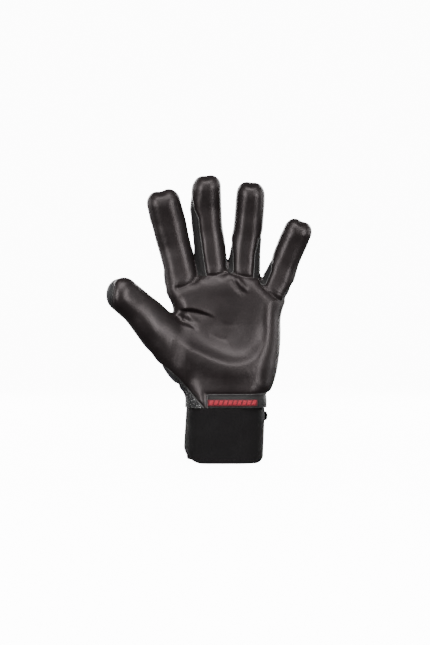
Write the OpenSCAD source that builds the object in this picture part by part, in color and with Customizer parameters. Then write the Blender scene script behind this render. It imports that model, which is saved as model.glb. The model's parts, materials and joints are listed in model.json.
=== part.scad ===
// Goalkeeper's catching glove for the left hand, standing upright on its wrist strap.
// +X points to the little finger, -Y out of the palm, +Z along the middle finger.
// Every finger is a chain of hollow stalls: latex front, fabric back, and soft folds at the joints.

/* [Cuff] */
// Outer width of the wrist strap
strap_w = 77; // [72:1:84]
// Outer depth of the wrist strap, front to back
strap_d = 54; // [50:1:58]
// Height of the wrist strap
strap_h = 58; // [50:1:60]
// Thickness of the elastic webbing
strap_t = 2; // [1.5:0.1:2.5]
// Thickness of the knitted sleeve inside the strap
sleeve_t = 1.6; // [1:0.1:2.5]
// Corner radius of the strap's lower edge on the thumb side
strap_corner = 14; // [4:1:18]
// Length of the closing tab round the back of the wrist
tab_len = 62; // [50:1:66]
// Height of the closing tab
tab_h = 44; // [30:1:50]

/* [Palm] */
// Latex and foam thickness on the gripping side
latex_t = 5; // [3:0.5:6]
// Thickness of the fabric back
back_t = 3.5; // [2:0.5:4]
// Height where the rigid part of the hand starts
hand_z = 74; // [72:1:78]
// Height of the wrist's bending axis
wrist_z = 64; // [60:1:66]
// Depth of the hand at mid-palm, front to back
palm_d = 42; // [38:1:46]

/* [Fingers] */
// Outer depth of the finger stalls, front to back
finger_d = 26; // [24:0.5:28]
// Bend of the resting finger at the knuckle, in degrees
rest_knuckle = 4; // [0:1:10]
// Bend of the resting finger at the middle joint, in degrees
rest_middle = 8; // [2:1:14]
// Bend of the resting finger at the end joint, in degrees
rest_end = 6; // [2:1:12]
// Room for flexing at the knuckle, in degrees
flex_knuckle = 65; // [40:5:70]
// Room for flexing at the middle joint, in degrees
flex_middle = 70; // [40:5:75]
// Room for flexing at the end joint, in degrees
flex_end = 42; // [20:2:45]

/* [Thumb] */
// Thumb's lean away from the fingers, in degrees
thumb_lean = -51.7; // [-58:0.1:-46]
// Thumb's tilt out of the palm, in degrees
thumb_tilt = 12; // [6:1:18]
// Thumb's turn towards the index finger, in degrees
thumb_roll = 22; // [10:1:30]
// Room for flexing at the thumb's two joints, in degrees
flex_thumb = 40; // [20:5:45]

/* [Hidden] */
gap = 0.35;
half_gap = gap / 2;
big = 400;
round_fn = 32;
FINGERS = ["index", "middle", "ring", "little"];
PARTS = ["proximal", "middle", "distal"];
// Where each finger's seam with the palm is centred, and how far the finger leans to +X
seat = [[-37.2, 0, 166], [-9.1, 0, 176], [20, 0, 175], [46.5, 0, 157.5]];
lean = [-13, -6, 4.3, 22.5];
// Outer width at the seam and at the tip
width_seam = [31.2, 26.6, 27.6, 26.4];
width_tip = [29.6, 25.6, 26, 23.6];
// Distance from the seam to the knuckle, middle joint, end joint and tip
reach = [[10, 40, 66, 96.5], [10, 42, 68, 97.5], [10, 39, 64, 92], [9, 32, 53, 78]];
knuckle_bend = [rest_knuckle, rest_middle, rest_end];
knuckle_flex = [flex_knuckle, flex_middle, flex_end];
side_seam = 3;
gusset_front = -4;
gusset_back = 6;
// Thumb: seat, then distance, centre offset and width of its sections
thumb_seat = [-35, -4, 108];
thumb_stops = [[-3, -7, 46], [30, -3.6, 41], [57, 0, 32], [85, 0, 30]];
thumb_reach = [34, 64, 94];
thumb_d = 30;
thumb_bend = 7;

finger_nodes = [for (f = FINGERS) each [
    str(f, "_base_fold"),
    for (p = PARTS) each [str(f, "_front_", p), str(f, "_back_", p)],
    str(f, "_gussets"), str(f, "_pip_fold"), str(f, "_dip_fold")]];
thumb_nodes = ["thumb_base_fold", "thumb_front_proximal", "thumb_back_proximal",
    "thumb_ip_fold", "thumb_front_distal", "thumb_back_distal"];

// Rounded rectangle centred on the origin, counter-clockwise, as a list of points
function rounded(w, d, r, n = 5) = [
    for (q = [0:3]) for (k = [0:n])
        let (a = q * 90 + k * 90 / n,
             cx = (q == 0 || q == 3 ? 1 : -1) * (w / 2 - r),
             cy = (q < 2 ? 1 : -1) * (d / 2 - r))
        [cx + r * cos(a), cy + r * sin(a)]];

// Prism along X with a profile drawn in Y and Z
module side_profile(points) {
    rotate([90, 0, 90]) linear_extrude(big, center = true) polygon(points);
}

// Everything in front of (or behind) a plane across Y
module band_y(from, to) {
    translate([-big / 2, from, -big / 2]) cube([big, to - from, big]);
}

// Everything between two heights
module band_z(from, to) {
    translate([-big / 2, -big / 2, from]) cube([big, big, to - from]);
}

// Above a joint: from a plane that rises by slope degrees towards the palm, flat at the back
module above_joint(slope, back = 0) {
    side_profile([[0, half_gap], [-big, half_gap + big * tan(slope)], [-big, big], [big, big],
        [big, half_gap + big * tan(back)]]);
}

// Below a joint: the mirror image of above_joint
module below_joint(slope, back = 0) {
    mirror([0, 0, 1]) above_joint(slope, back);
}

// Half the angle of the notch that a joint needs on the palm side
function notch(k) = (knuckle_flex[k] + knuckle_bend[k] + 2) / 2;

// ---------- Fingers ----------

function finger_width(i, s) =
    width_seam[i] + (width_tip[i] - width_seam[i]) * s / reach[i][3];

// Places children in the frame of a finger's part: 0 base, 1 proximal, 2 middle, 3 distal.
// The frame's origin is the joint at that part's lower end, or the seam for the base.
module finger_frame(i, part) {
    if (part == 0)
        translate(seat[i]) rotate([0, lean[i], 0]) children();
    else
        finger_frame(i, part - 1)
            translate([0, 0, part == 1 ? reach[i][0] : reach[i][part - 1] - reach[i][part - 2]])
                bend_axis(i) rotate([knuckle_bend[part - 1], 0, 0]) unbend_axis(i) children();
}

// The joints turn about an axis that leans half as much as the finger, so a fist draws together
module bend_axis(i) rotate([0, -lean[i] / 2, 0]) children();
module unbend_axis(i) rotate([0, lean[i] / 2, 0]) children();

// How far a stall runs past its joints, so that the slanting cuts find material
function spare(i) = width_seam[i] / 2 * tan(abs(lean[i]) / 2) + 1.5;

// Solid stall between two distances from the seam, drawn from its own lower end
module stall_solid(i, from, to, wall_side, wall_front, wall_back) {
    w0 = finger_width(i, from) - 2 * wall_side;
    w1 = finger_width(i, to) - 2 * wall_side;
    d = finger_d - wall_front - wall_back;
    translate([0, (wall_front - wall_back) / 2, 0])
        linear_extrude(to - from, scale = [w1 / w0, 1], slices = 1)
            polygon(rounded(w0, d, min(w0, d) * 0.42));
}

// Hollow stall, open at both ends
module stall(i, from, to) {
    difference() {
        stall_solid(i, from, to, 0, 0, 0);
        translate([0, 0, -1]) stall_solid(i, from - 1, to + 1, back_t, latex_t, back_t);
    }
}

// Slab of a finger's section, used to round its tip
module tip_slab(i, height, shrink, wall) {
    w = width_tip[i] - shrink - 2 * wall;
    d = finger_d - shrink - 2 * wall;
    translate([0, 0, height]) linear_extrude(0.02) polygon(rounded(w, d, min(w, d) * 0.42, 4));
}

// Hollow fingertip, closed at the end
module tip_stall(i) {
    h = reach[i][3] - reach[i][2];
    difference() {
        hull() {
            translate([0, 0, -spare(i)]) linear_extrude(0.02)
                polygon(rounded(finger_width(i, reach[i][2]), finger_d, finger_d * 0.42, 4));
            tip_slab(i, h - 10, 0, 0);
            tip_slab(i, h - 3, 7, 0);
            tip_slab(i, h - 0.02, 15, 0);
        }
        hull() {
            translate([0, 0, -spare(i) - 1]) tip_slab(i, 0, 0, 4);
            tip_slab(i, h - 13, 0, 4);
            tip_slab(i, h - 5, 9, 3);
        }
    }
}

// One part of a finger's tube, cut off at the joints at its ends
module finger_tube(i, part) {
    r = reach[i];
    e = spare(i);
    finger_frame(i, part) intersection() {
        if (part == 3) tip_stall(i);
        else translate([0, 0, -e]) stall(i, r[part - 1] - e, r[part] + e);
        bend_axis(i) above_joint(notch(part - 1));
        if (part < 3)
            translate([0, 0, r[part] - r[part - 1]]) bend_axis(i) below_joint(notch(part));
    }
}

// What lies between two planes across a finger's part
module finger_slice(i, part, from, to) {
    finger_frame(i, part) band_y(from, to);
}

module finger_front(i, part) {
    color("#2b2829") intersection() {
        finger_tube(i, part);
        finger_slice(i, part, -big / 2, part == 1 ? gusset_front : side_seam);
    }
}

module finger_back(i, part) {
    color("#1c1c1e") intersection() {
        finger_tube(i, part);
        finger_slice(i, part, part == 1 ? gusset_back : side_seam, big / 2);
    }
}

// Stretch side strips between front and back, from the crotch to the middle joint
module finger_gussets(i) {
    color("#101011") intersection() {
        finger_tube(i, 1);
        finger_slice(i, 1, gusset_front, gusset_back);
    }
}

// Soft ring that joins a finger to the hand and folds at the knuckle
module finger_base_fold(i) {
    r = reach[i];
    color("#2b2829") {
        finger_frame(i, 0) intersection() {
            translate([0, 0, gap]) stall(i, gap, r[0] + spare(i));
            translate([0, 0, r[0]]) bend_axis(i) mirror([0, 0, 1]) band_z(half_gap, big);
        }
        finger_frame(i, 1) fold_wedge(i, 1);
    }
}

// Wedge of latex that folds away on the palm side of a joint, just above its axis
module fold_wedge(i, part) {
    r = reach[i];
    e = spare(i);
    intersection() {
        translate([0, 0, -e]) stall(i, r[part - 1] - e, r[part - 1] + 14);
        bend_axis(i) translate([0, 0, -half_gap]) mirror([0, 1, 0]) side_profile([
            [gap * 2, half_gap], [big, half_gap], [big, big * tan(notch(part - 1)) - gap]]);
    }
}

// Soft folds at the middle and end joints: the wedge below the joint and the one above it
module finger_fold(i, part) {
    r = reach[i];
    color("#232122") {
        finger_frame(i, part) translate([0, 0, r[part] - r[part - 1]]) intersection() {
            translate([0, 0, -14]) stall(i, r[part] - 14, r[part] + spare(i));
            bend_axis(i) translate([0, 0, half_gap]) mirror([0, 1, 0]) mirror([0, 0, 1]) side_profile([
                [gap * 2, half_gap], [big, half_gap], [big, big * tan(notch(part)) - gap]]);
        }
        finger_frame(i, part + 1) fold_wedge(i, part + 1);
    }
}

// ---------- Thumb ----------

module thumb_frame(part) {
    if (part == 0)
        translate(thumb_seat) rotate([0, thumb_lean, 0]) rotate([thumb_tilt, 0, 0])
            rotate([0, 0, thumb_roll]) children();
    else
        thumb_frame(part - 1)
            translate([0, 0, part == 1 ? thumb_reach[0] : thumb_reach[1] - thumb_reach[0]])
                rotate([thumb_bend, 0, 0]) children();
}

thumb_notch = (flex_thumb + thumb_bend + 2) / 2;

// Thin section of the thumb at a distance from its seat
module thumb_slab(s, wall, shrink = 0) {
    stops = thumb_stops;
    k = s < stops[1][0] ? 0 : s < stops[2][0] ? 1 : 2;
    u = (s - stops[k][0]) / (stops[k + 1][0] - stops[k][0]);
    centre = stops[k][1] + u * (stops[k + 1][1] - stops[k][1]);
    w = stops[k][2] + u * (stops[k + 1][2] - stops[k][2]) - 2 * wall - shrink;
    d = thumb_d - 2 * wall - shrink;
    translate([centre, 0, s]) linear_extrude(0.02) polygon(rounded(w, d, min(w, d) * 0.42, 4));
}

// Hollow thumb between two distances from its seat; sunk lowers its surface
module thumb_stall(from, to, sunk = 0) {
    difference() {
        hull() {
            thumb_slab(from, sunk);
            thumb_slab(to, sunk);
        }
        hull() {
            thumb_slab(from - 0.5, 4);
            thumb_slab(to + 0.5, 4);
        }
    }
}

// Hollow end of the thumb, closed at the tip
module thumb_tip() {
    tip = thumb_reach[2];
    difference() {
        hull() {
            thumb_slab(thumb_reach[1], 0);
            thumb_slab(tip - 10, 0);
            thumb_slab(tip - 3, 0, 8);
            thumb_slab(tip - 0.02, 0, 17);
        }
        hull() {
            thumb_slab(thumb_reach[1] - 1, 4);
            thumb_slab(tip - 13, 4);
            thumb_slab(tip - 5, 3, 10);
        }
    }
}

module thumb_tube(part) {
    at = thumb_reach[part - 1];
    thumb_frame(part) intersection() {
        translate([0, 0, -at])
            if (part == 2) thumb_tip(); else thumb_stall(at, thumb_reach[part]);
        above_joint(thumb_notch);
        if (part == 1) translate([0, 0, thumb_reach[1] - at]) below_joint(thumb_notch);
    }
}

module thumb_front(part) {
    color("#2b2829") intersection() {
        thumb_tube(part);
        thumb_frame(part) band_y(-big / 2, side_seam);
    }
}

module thumb_back(part) {
    color("#1c1c1e") intersection() {
        thumb_tube(part);
        thumb_frame(part) band_y(side_seam, big / 2);
    }
}

// Wedge of the thumb on the palm side of a joint, above or below its axis
module thumb_wedge(part, sign) {
    at = thumb_reach[part];
    intersection() {
        translate([0, 0, -at])
            thumb_stall(at - (sign > 0 ? 2 : 14), at + (sign > 0 ? 14 : 2), sign > 0 ? 0.4 : 0.2);
        translate([0, 0, -sign * half_gap]) mirror([0, 0, sign > 0 ? 0 : 1]) mirror([0, 1, 0])
            side_profile([[gap * 2, half_gap], [big, half_gap],
                [big, big * tan(thumb_notch) - gap]]);
    }
}

// Soft root of the thumb, which folds when the thumb swings or bends
module thumb_base_fold() {
    color("#2b2829") {
        difference() {
            thumb_frame(0) intersection() {
                thumb_stall(0, thumb_reach[0]);
                band_z(0, thumb_reach[0] - gap);
            }
            palm_solid(latex_t - 1 - gap);
        }
        thumb_frame(1) thumb_wedge(0, 1);
    }
}

module thumb_ip_fold() {
    color("#232122") {
        thumb_frame(1) translate([0, 0, thumb_reach[1] - thumb_reach[0]]) thumb_wedge(1, -1);
        thumb_frame(2) thumb_wedge(1, 1);
    }
}

// ---------- Hand ----------

// Block of the hand from the wrist to the finger seams; inset shrinks it evenly
module palm_solid(inset) {
    r = palm_d / 2;
    knuckles = [[-36.6, 162.5, 13.4], [-8.8, 172.5, 13.4], [19.8, 171.5, 13.4], [45.2, 154.2, 13]];
    body = [[-33, 92, 17], [-31, 126, r - 4], [33, 108, r - 1], [34, 134, r - 2], [28, 84, r - 2]];
    hull() {
        for (p = concat(knuckles, body))
            translate([p[0], 0, p[1]]) sphere(p[2] - inset, $fn = 24);
        translate([0, 0, hand_z - 14]) linear_extrude(0.02)
            polygon(rounded(strap_w - 2 - 2 * inset, strap_d - 6 - 2 * inset, 21 - inset, 6));
    }
}

// What a finger needs clear of the palm above its seam
module finger_clearance(i) {
    w = width_seam[i] + 4;
    finger_frame(i, 0) translate([-w / 2, -big / 2, 0]) cube([w, big, 60]);
}

// Passage between the palm's hollow and a finger's
module finger_bore(i) {
    finger_frame(i, 0) translate([0, 0, -18]) stall_solid(i, 0, 24, back_t, latex_t, back_t);
}

// Outside of the thumb's root, which passes through the hand's side
module thumb_root_solid(extra) {
    thumb_frame(0) hull() {
        thumb_slab(0, -extra);
        thumb_slab(thumb_reach[0], -extra);
    }
}

// Shell of the hand, open to the wrist, the thumb and every finger
module hand_shell(inset, wall) {
    difference() {
        palm_solid(inset);
        palm_solid(inset + wall);
        for (i = [0:3]) {
            finger_clearance(i);
            finger_bore(i);
        }
        band_z(-big, hand_z);
        thumb_root_solid(gap);
    }
}

// Strip on the thumb side between the wrist and the thumb
module side_strip() {
    translate([-big / 2 - 22, -7, -big]) cube([big / 2, 15, big + 96]);
}

module palm_latex() {
    color("#2d2a2b") difference() {
        intersection() {
            hand_shell(0, latex_t - 1);
            band_y(-big / 2, side_seam);
        }
        side_strip();
    }
}

module backhand() {
    color("#1b1b1d") difference() {
        intersection() {
            hand_shell(0, latex_t - 1);
            band_y(side_seam, big / 2);
        }
        side_strip();
    }
}

// Raised foam pad over the back of the hand
module back_pad() {
    color("#202022") difference() {
        intersection() {
            palm_solid(-2.2);
            rotate([90, 0, 0]) mirror([0, 0, 1]) linear_extrude(big) offset(6) offset(-6)
                polygon([[-24, 96], [-34, 122], [-36, 150], [-8, 161], [20, 160], [36, 148],
                    [38, 122], [28, 96]]);
        }
        palm_solid(-half_gap);
    }
}

module side_mesh() {
    color("#3a3a3c") intersection() {
        hand_shell(0, latex_t - 1);
        side_strip();
    }
}

module palm_lining() {
    color("#151516") hand_shell(latex_t - 1 + gap, 1);
}

// ---------- Cuff ----------

module oval(w, d) {
    for (x = [-1, 1]) translate([x * (w - d) / 2, 0]) circle(d = d, $fn = 64);
    square([w - d, d], center = true);
}

// Ring whose outer face lies out beyond the strap's, with the wall inside it
module oval_ring(out, wall, from, to) {
    translate([0, 0, from]) linear_extrude(to - from) difference() {
        oval(strap_w + 2 * out, strap_d + 2 * out);
        oval(strap_w + 2 * out - 2 * wall, strap_d + 2 * out - 2 * wall);
    }
}

// Takes the lower corner off the cuff on the thumb side
module corner_cut() {
    x = -strap_w / 2 - 3;
    translate([x, 0, 0]) rotate([90, 0, 0]) linear_extrude(big, center = true) difference() {
        translate([-5, -5]) square([strap_corner + 8, strap_corner + 5]);
        translate([strap_corner + 3, strap_corner]) circle(strap_corner, $fn = 64);
        translate([3, strap_corner]) square([strap_corner, 1]);
    }
}

module wrist_strap() {
    color("#141414") difference() {
        oval_ring(0, strap_t, 0, strap_h);
        corner_cut();
    }
}

module cuff_sleeve() {
    color("#19191a") difference() {
        oval_ring(-strap_t - half_gap, sleeve_t, 3, strap_h - 1);
        corner_cut();
    }
}

// Binding folded over the sleeve's lower edge
module cuff_hem() {
    color("#0e0e0e") difference() {
        oval_ring(-strap_t - half_gap, sleeve_t + 0.8, 0, 3 - half_gap);
        corner_cut();
    }
}

// Soft heel between the cuff and the hand, which folds as the wrist bends
module wrist_fold() {
    color("#242223") difference() {
        intersection() {
            palm_solid(0);
            band_z(strap_h + gap, hand_z - gap);
        }
        palm_solid(latex_t - 1);
        band_z(-big, strap_h + gap);
    }
}

// Woven coloured band on the strap's upper edge
module accent_band() {
    color("#b02a35") intersection() {
        oval_ring(0.9 + half_gap, 0.9, strap_h - 6, strap_h - 0.5);
        translate([-14, -big / 2, 0]) cube([46, big / 2, big]);
    }
}

// Shell that follows the back of the strap between two places along X
module back_shell(out, wall, x0, x1, z0, z1, r = 6) {
    intersection() {
        oval_ring(out, wall, z0, z1);
        rotate([90, 0, 0]) mirror([0, 0, 1]) linear_extrude(big) {
            translate([x0, z0 + r]) square([x1 - x0, z1 - z0 - 2 * r]);
            translate([x0 + r, z0]) square([x1 - x0 - 2 * r, z1 - z0]);
            for (x = [x0 + r, x1 - r], z = [z0 + r, z1 - r])
                translate([x, z]) circle(r, $fn = 32);
        }
    }
}

tab_x = -30;
tab_z = 8;

module loop_patch() {
    color("#0c0c0c") back_shell(1.2 + gap, 1.2, tab_x + 6, tab_x + 52, tab_z + 3, tab_z + tab_h - 3);
}

module hook_patch() {
    color("#0c0c0c") back_shell(2.4 + 2 * gap, 1.2, tab_x + 8, tab_x + 54, tab_z + 4, tab_z + tab_h - 4);
}

module strap_tab() {
    color("#161616") back_shell(4.2 + 3 * gap, 1.8, tab_x, tab_x + tab_len, tab_z, tab_z + tab_h);
}

// Moulded grip on the tab's free end
module pull_tab() {
    z = tab_z + tab_h / 2;
    color("#1f1f20") back_shell(5.9 + 3 * gap + half_gap, 1.5,
        tab_x + tab_len - 18, tab_x + tab_len + 8.5, z + 7, z + 18, 5.4);
}

// ---------- Nodes ----------

cuff_sleeve();
wrist_strap();
accent_band();
loop_patch();
cuff_hem();
wrist_fold();
strap_tab();
hook_patch();
pull_tab();
palm_latex();
backhand();
back_pad();
palm_lining();
side_mesh();
thumb_base_fold();
thumb_front(1);  // thumb_front_proximal
thumb_back(1);  // thumb_back_proximal
thumb_ip_fold();
thumb_front(2);  // thumb_front_distal
thumb_back(2);  // thumb_back_distal
for (i = [0:3]) {
    f = FINGERS[i];
    finger_base_fold(i);
    finger_gussets(i);
    finger_fold(i, 1);
    finger_fold(i, 2);
    for (p = [1:3]) {
        finger_front(i, p);
        finger_back(i, p);
    }
}
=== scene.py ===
"""A padded goalkeeper glove for the left hand, filled as if worn, standing on its wrist strap.

The whole hand is one smooth distance field, meshed once and cut along its seams into sewn panels.
Lengths are in millimetres until a mesh is made.
"""

import itertools
import json
import math

import bpy
import numpy as np
import openvdb
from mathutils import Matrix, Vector
from mathutils.bvhtree import BVHTree
from mathutils.kdtree import KDTree


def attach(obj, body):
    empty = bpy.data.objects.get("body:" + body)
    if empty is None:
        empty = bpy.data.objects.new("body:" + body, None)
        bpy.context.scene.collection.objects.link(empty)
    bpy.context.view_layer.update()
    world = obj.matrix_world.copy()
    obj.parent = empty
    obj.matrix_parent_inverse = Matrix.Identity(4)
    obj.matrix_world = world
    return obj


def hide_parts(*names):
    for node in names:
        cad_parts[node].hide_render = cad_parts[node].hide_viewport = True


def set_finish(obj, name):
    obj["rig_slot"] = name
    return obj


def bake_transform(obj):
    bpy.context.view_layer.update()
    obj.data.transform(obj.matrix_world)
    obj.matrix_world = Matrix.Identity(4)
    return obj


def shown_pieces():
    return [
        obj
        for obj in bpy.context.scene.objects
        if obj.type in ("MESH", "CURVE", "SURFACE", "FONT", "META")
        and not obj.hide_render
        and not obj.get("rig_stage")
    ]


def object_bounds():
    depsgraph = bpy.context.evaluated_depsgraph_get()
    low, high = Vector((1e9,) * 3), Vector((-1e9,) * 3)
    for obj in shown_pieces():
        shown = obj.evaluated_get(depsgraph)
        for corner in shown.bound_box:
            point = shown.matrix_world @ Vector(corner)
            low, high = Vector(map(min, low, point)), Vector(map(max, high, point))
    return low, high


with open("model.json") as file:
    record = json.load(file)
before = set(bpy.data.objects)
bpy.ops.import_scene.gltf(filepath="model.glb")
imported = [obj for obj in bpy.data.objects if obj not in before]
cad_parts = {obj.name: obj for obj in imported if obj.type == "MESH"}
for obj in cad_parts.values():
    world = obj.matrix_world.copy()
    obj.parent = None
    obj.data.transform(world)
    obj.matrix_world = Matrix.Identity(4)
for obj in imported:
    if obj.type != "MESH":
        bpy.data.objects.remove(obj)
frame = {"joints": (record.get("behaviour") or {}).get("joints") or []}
cad_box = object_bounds()
MM = 0.001

VOXEL = 1.0
GRID_LOW = np.array([-122.0, -50.0, 38.0])
GRID_HIGH = np.array([94.0, 38.0, 284.0])
HAND_BOTTOM = 52.4  # the skin's open lower edge, which overlaps the strap
HEM = 65.0  # height of the seam between the hand and its wrist band
LATEX_THICK, FABRIC_THICK = 2.6, 1.6
LINING_OUTER, LINING_INNER = 3.2, 4.0  # the lining's two sides, below the skin
LAP_LENGTH, LAP_DEPTH = 5.0, 2.6  # how a finger's panels run on under the palm's edge
FINGER_REACH, FINGER_START = 24, -12  # points further out or further back belong to no finger
ON_SEAM = 0.02  # a point this near to a seam lies on it
SNAP = 0.08  # a cut this near to a vertex runs through the vertex


# ---------------------------------------------------------------- small maths

def smooth(x, low, high):
    t = np.clip((x - low) / (high - low), 0, 1)
    return t * t * (3 - 2 * t)


def bump(x, centre, width):
    return np.exp(-(((x - centre) / width) ** 2))


def round_max(a, b, r):
    """The rounded corner between two distances."""
    u, v = a + r, b + r
    return np.minimum(np.maximum(u, v), 0) + np.hypot(np.maximum(u, 0), np.maximum(v, 0)) - r


def soft_min(a, b, k):
    h = np.clip(0.5 + 0.5 * (b - a) / k, 0, 1)
    return b + (a - b) * h - k * h * (1 - h)


def unit(v):
    v = np.asarray(v, float)
    return v / np.linalg.norm(v)


def unit_rows(v):
    return v / np.linalg.norm(v, axis=1, keepdims=True).clip(1e-9)


def turned(v, axis, degrees):
    a = math.radians(degrees)
    v, axis = np.asarray(v, float), unit(axis)
    return v * math.cos(a) + np.cross(axis, v) * math.sin(a) + axis * (axis @ v) * (1 - math.cos(a))


# ---------------------------------------------------------------- skeleton, from the joints

JOINT = {j["name"]: j for j in frame["joints"]}
FINGERS = ["index", "middle", "ring", "little"]


def joint_at(name):
    return np.array(JOINT[name]["pos_m"], float) / MM


class Digit:
    """A finger or the thumb: joints, axes, and its shape along its length."""

    def __init__(self, name, joints, seat_gap, bends, tip, half_width, half_depth, centre):
        self.name = name
        axes = [unit(JOINT[j]["axis"]) for j in joints]
        points = [joint_at(j) for j in joints]
        if name != "thumb":  # a finger's joints lean half as much as the finger does
            lean = -2 * math.atan2(axes[0][2], axes[0][0])
            self.x = [np.array([math.cos(lean), 0, -math.sin(lean)])]
            self.z = [np.array([math.sin(lean), 0, math.cos(lean)])]
        else:
            self.x = [axes[0]]
            self.z = [turned(unit(points[1] - points[0]), axes[0], -bends[0])]
        for axis, bend in zip(axes, bends):
            self.x.append(turned(self.x[-1], axis, bend))
            self.z.append(turned(self.z[-1], axis, bend))
        self.y = [np.cross(z, x) for z, x in zip(self.z, self.x)]
        self.origin = [points[0] - self.z[0] * seat_gap] + points
        steps = [seat_gap] + [np.linalg.norm(b - a) for a, b in zip(points, points[1:])]
        self.stop = list(np.cumsum([0.0] + steps))
        self.tip, self.half_width, self.half_depth, self.centre_line = tip, half_width, half_depth, centre

    def local(self, p):
        """Across, front to back and along, for points in the row frame."""
        mixed = None
        for o, x, y, z, stop in zip(self.origin, self.x, self.y, self.z, self.stop):
            q = p - o
            here = np.stack([q @ x, q @ y, q @ z + stop])
            w = smooth(here[2], stop - 9, stop + 9)
            mixed = here if mixed is None else mixed * (1 - w) + here * w
        across, out, along = mixed
        return across - self.table(self.centre_line, along), out, along

    def table(self, rows, s):
        return np.interp(s, [r[0] for r in rows], [r[1] for r in rows])

    def distance(self, p):
        """A rounded section: fuller than an ellipse, and closed by a round tip."""
        across, out, along = self.local(p)
        a = self.table(self.half_width, along)
        b = np.where(out < 0, *(self.table([(r[0], r[i]) for r in self.half_depth], along) for i in (1, 2)))
        side = np.maximum(np.abs(across) - a, -along - 16)
        outline = round_max(side, along - self.tip, TIP_ROUND[self.name])
        n = np.where(out < 0, FRONT_POWER, BACK_POWER)
        u = np.clip(1 + outline / a, 0, None)
        return ((u ** n + (np.abs(out) / b) ** n) ** (1 / n) - 1) * np.minimum(a, b)

    def out_at(self, reach, along, power):
        """How far forward the surface is at a distance across from the middle."""
        a = self.table(self.half_width, along)
        b = self.table([(r[0], r[1]) for r in self.half_depth], along)
        return -b * (1 - np.clip(reach / a, 0, 1) ** power) ** (1 / power) + np.clip(reach - a, 0, 2)

    def point(self, s, across=0.0, out=0.0):
        """A point in the row frame, on the rest shape's own axes."""
        k = max(i for i, stop in enumerate(self.stop) if s >= stop or i == 0)
        across = across + float(self.table(self.centre_line, s))
        return self.origin[k] + self.z[k] * (s - self.stop[k]) + self.x[k] * across + self.y[k] * out


TIP_ROUND = {"index": 11.5, "middle": 11.5, "ring": 11.5, "little": 10.5, "thumb": 14.5}
FRONT_POWER, BACK_POWER = 2.25, 2.5

# Along every finger: seat to knuckle, whole length, half width, half depth in front and behind, middle line
FINGER_SHAPE = {
    "index": (10, 95.2,
              [(-16, 12.0), (-4, 16.8), (0, 17.2), (22, 15.7), (40, 15.8), (60, 16.4), (80, 15.8), (96, 15.4)],
              (14.0, 12.5), [(0, 0), (60, -0.3), (96, -0.3)]),
    "middle": (10, 97.5, [(0, 15.2), (22, 14.9), (45, 14.7), (65, 15.1), (84, 13.6), (97, 12.6)],
               (13.8, 12.0), [(0, 0), (25, -0.8), (50, -1.2), (66, -0.5), (92, 3.0)]),
    "ring": (10, 92.0, [(0, 16.5), (12, 15.9), (25, 15.0), (38, 14.5), (48, 13.6), (75, 13.6), (92, 12.6)],
             (13.6, 12.0), [(0, -0.5), (25, -0.5), (42, 0), (92, 0)]),
    "little": (9, 78.0, [(0, 14.6), (18, 14.7), (38, 13.0), (58, 13.5), (78, 12.8)],
               (12.6, 11.4), [(0, -1.2), (20, -0.9), (40, -1.5), (78, -1.5)])}
FINGER_BENDS = [4, 8, 6]  # how far each joint is curled at rest

digit = {}
for name, (seat, tip, widths, (front, back), centre) in FINGER_SHAPE.items():
    depths = [(-20, front + 1.5, back + 2), (10, front, back), (tip - 25, front - 0.5, back - 0.5),
              (tip, front - 1.5, back - 1.0)]
    joints = [f"{name}_{word}" for word in ("knuckle", "middle_joint", "end_joint")]
    digit[name] = Digit(name, joints, seat, FINGER_BENDS, tip, widths, depths, centre)
digit["thumb"] = Digit(
    "thumb", ["thumb_knuckle", "thumb_end_joint"], 34, [7, 7], 96.8,
    [(-10, 24), (0, 23.0), (30, 20.2), (48, 18.2), (62, 15.8), (80, 15.4), (96, 14.6)],
    [(-10, 17, 16), (25, 16.0, 14.5), (60, 14.5, 13.0), (94, 12.5, 12.0)],
    [(-3, -7.0), (30, -2.9), (48, -0.6), (64, 0.7), (80, -0.2), (96, 1.4)])


# ---------------------------------------------------------------- the hand's field

# The hand without its digits, in X and Z, from below the hem's left end and clockwise
PALM_OUTLINE = [
    (-35.6, 20), (-35.6, 35), (-35.4, 52), (-35.4, 61), (-37.2, 67), (-41, 75.5), (-49, 88), (-50, 104),
    (-46, 122), (-45.2, 128), (-45.0, 136), (-46.4, 143), (-48.4, 150), (-51.0, 158), (-49.0, 167), (-31, 174),
    (-23, 179), (-9, 179),
    (4, 184), (19, 180), (33, 176), (38, 171), (48, 163), (56, 156), (55.6, 146), (54.6, 135),
    (54.6, 123), (53.2, 106), (49.8, 83), (45.6, 70), (41.6, 63.5), (40.9, 56), (40.6, 48), (40.4, 35),
    (40.4, 20)]


def catmull_rom(a, b, c, d, n):
    """n points on each stretch from b to c, bent by the points before and after."""
    t = np.linspace(0, 1, n, endpoint=False)[:, None, None]
    curve = 0.5 * (2 * b + (c - a) * t + (2 * a - 5 * b + 4 * c - d) * t ** 2
                   + (3 * b - a - 3 * c + d) * t ** 3)
    return curve.transpose(1, 0, 2).reshape(-1, 2)


def closed_curve(points, n=10):
    p = np.array(points, float)
    return catmull_rom(*(np.roll(p, k, 0) for k in (1, 0, -1, -2)), n)


def open_curve(points, n=8):
    p = np.array(points, float)
    p = np.concatenate([[2 * p[0] - p[1]], p, [2 * p[-1] - p[-2]]])
    return np.concatenate([catmull_rom(p[:-3], p[1:-2], p[2:-1], p[3:], n), p[-2:-1]])


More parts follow.
